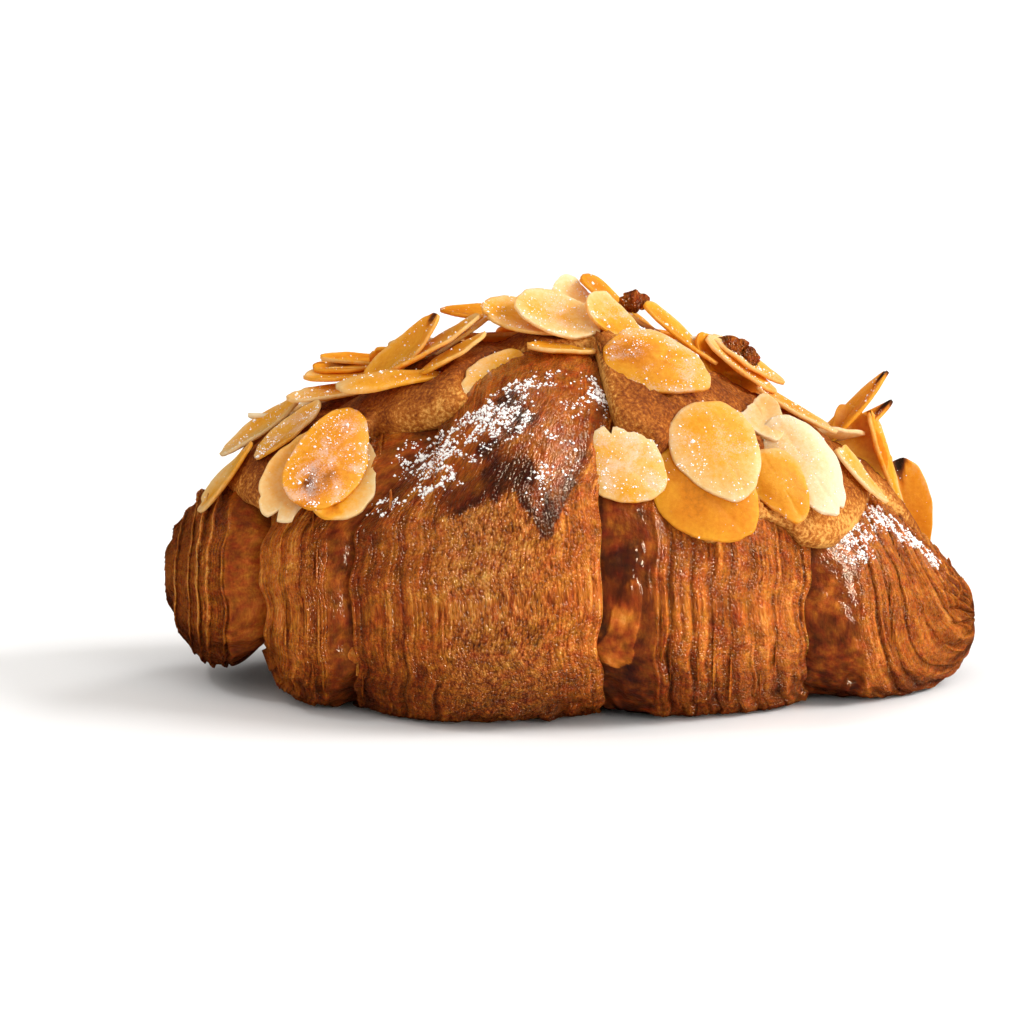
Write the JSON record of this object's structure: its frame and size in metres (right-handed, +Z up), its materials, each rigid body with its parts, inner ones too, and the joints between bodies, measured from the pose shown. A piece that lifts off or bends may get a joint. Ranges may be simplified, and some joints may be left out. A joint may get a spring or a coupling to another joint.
{
  "type": "almond croissant",
  "caption": "Almond croissant: a plump browned roll of layered pastry, topped along its ridge with almond cream, toasted flaked almonds and icing sugar.",
  "frame": {"origin": "middle of the croissant's box, on the table it rests on", "axes": "+X along the roll from the left tip to the right tip as seen from the front, -Y to the front, +Z up"},
  "size_m": [0.157, 0.0864, 0.0786],
  "materials": {
    "crust": "baked, satin",
    "cream": "baked, grainy",
    "almonds": "toasted, satin",
    "icing_sugar": "powder"
  },
  "bodies": {
    "root": {"pastry": "crust", "almond_cream": "almonds"}
  },
  "joints": []
}
